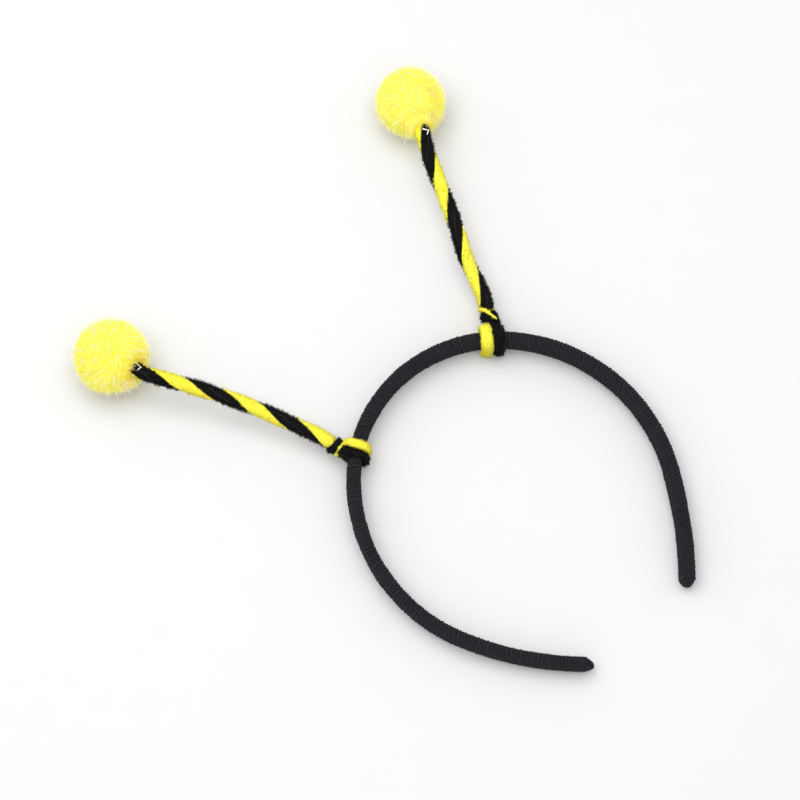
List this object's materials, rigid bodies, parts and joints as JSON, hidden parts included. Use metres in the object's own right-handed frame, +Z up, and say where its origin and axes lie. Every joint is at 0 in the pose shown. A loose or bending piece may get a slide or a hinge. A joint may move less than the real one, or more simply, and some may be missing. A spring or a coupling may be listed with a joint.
{
  "type": "bee antenna headband",
  "caption": "Arched hair band in a ribbed black sleeve with springy black and yellow twisted chenille antennas that end in fluffy yellow pompoms.",
  "frame": {"origin": "bottom centre of the bounding box, on the surface that the headband lies on", "axes": "+Z up from the surface, +Y from the band's open ends to its crown and the pompoms, +X to the band's right half as seen from above"},
  "size_m": [0.19, 0.2364, 0.0296],
  "materials": {
    "sleeve": "ribbed matt black knit",
    "black_chenille": "fuzzy matt black pile",
    "yellow_chenille": "fuzzy bright yellow pile",
    "pompom": "shiny lemon yellow tinsel fibres"
  },
  "bodies": {
    "root": {"headband": "sleeve", "left_black_stem": "black_chenille", "left_yellow_stem": "yellow_chenille", "left_pompom": "pompom", "right_black_stem": "black_chenille", "right_yellow_stem": "yellow_chenille", "right_pompom": "pompom"}
  },
  "joints": []
}
